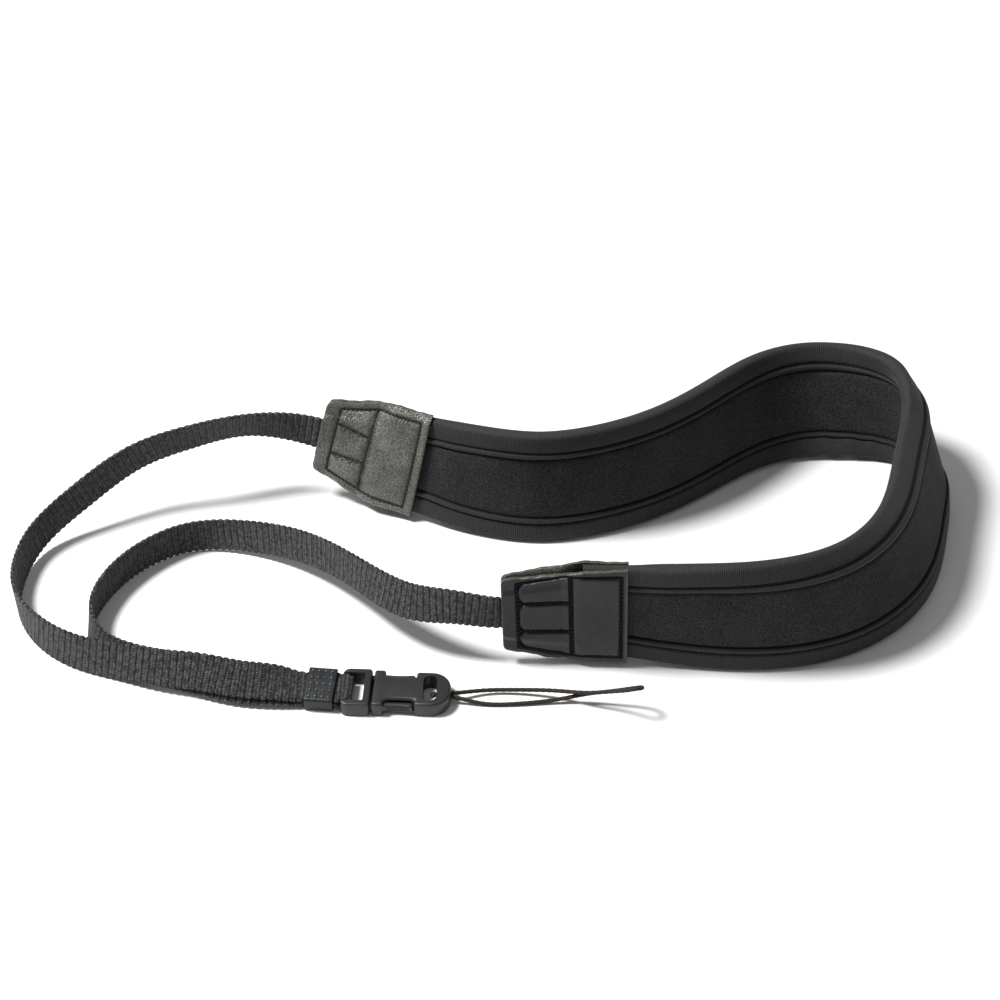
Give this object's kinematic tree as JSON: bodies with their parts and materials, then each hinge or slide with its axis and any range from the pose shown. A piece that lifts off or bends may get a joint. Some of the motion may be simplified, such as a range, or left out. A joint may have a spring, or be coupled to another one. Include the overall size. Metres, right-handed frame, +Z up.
{
  "type": "camera neck strap",
  "caption": "Camera neck strap laid on edge: padded neck section between leather patches, narrow webbing to a fastened plastic side-release buckle, dotted sleeve, thin cord loop.",
  "frame": {"origin": "on the table, under the middle of the strap's bounding box without its cord loop", "axes": "+Z up, +X to the viewer's right, towards the pad's bow and the buckle's corded end, +Y away from the viewer"},
  "size_m": [0.3174, 0.153, 0.0416],
  "materials": {
    "pad_cover": "matte ribbed knit over foam",
    "binding_knit": "matte ribbed knit",
    "patch_leather": "grained, low sheen",
    "moulded_leather": "satin, pressed relief",
    "webbing_weave": "matte ribbed weave",
    "sleeve_rubber": "satin, raised dots",
    "buckle_plastic": "satin moulded",
    "cord_braid": "matte braid"
  },
  "bodies": {
    "root": {"pad_core": "pad_cover", "pad_binding_upper": "binding_knit", "pad_binding_lower": "binding_knit", "rear_patch_inner": "patch_leather", "rear_patch_outer": "moulded_leather", "front_patch_inner": "patch_leather", "front_patch_outer": "moulded_leather", "webbing_rear": "webbing_weave", "webbing_front": "webbing_weave", "sleeve": "sleeve_rubber", "buckle_plug": "buckle_plastic", "buckle_socket": "buckle_plastic", "loop_cord": "cord_braid", "cord_knot": "cord_braid"}
  },
  "joints": []
}
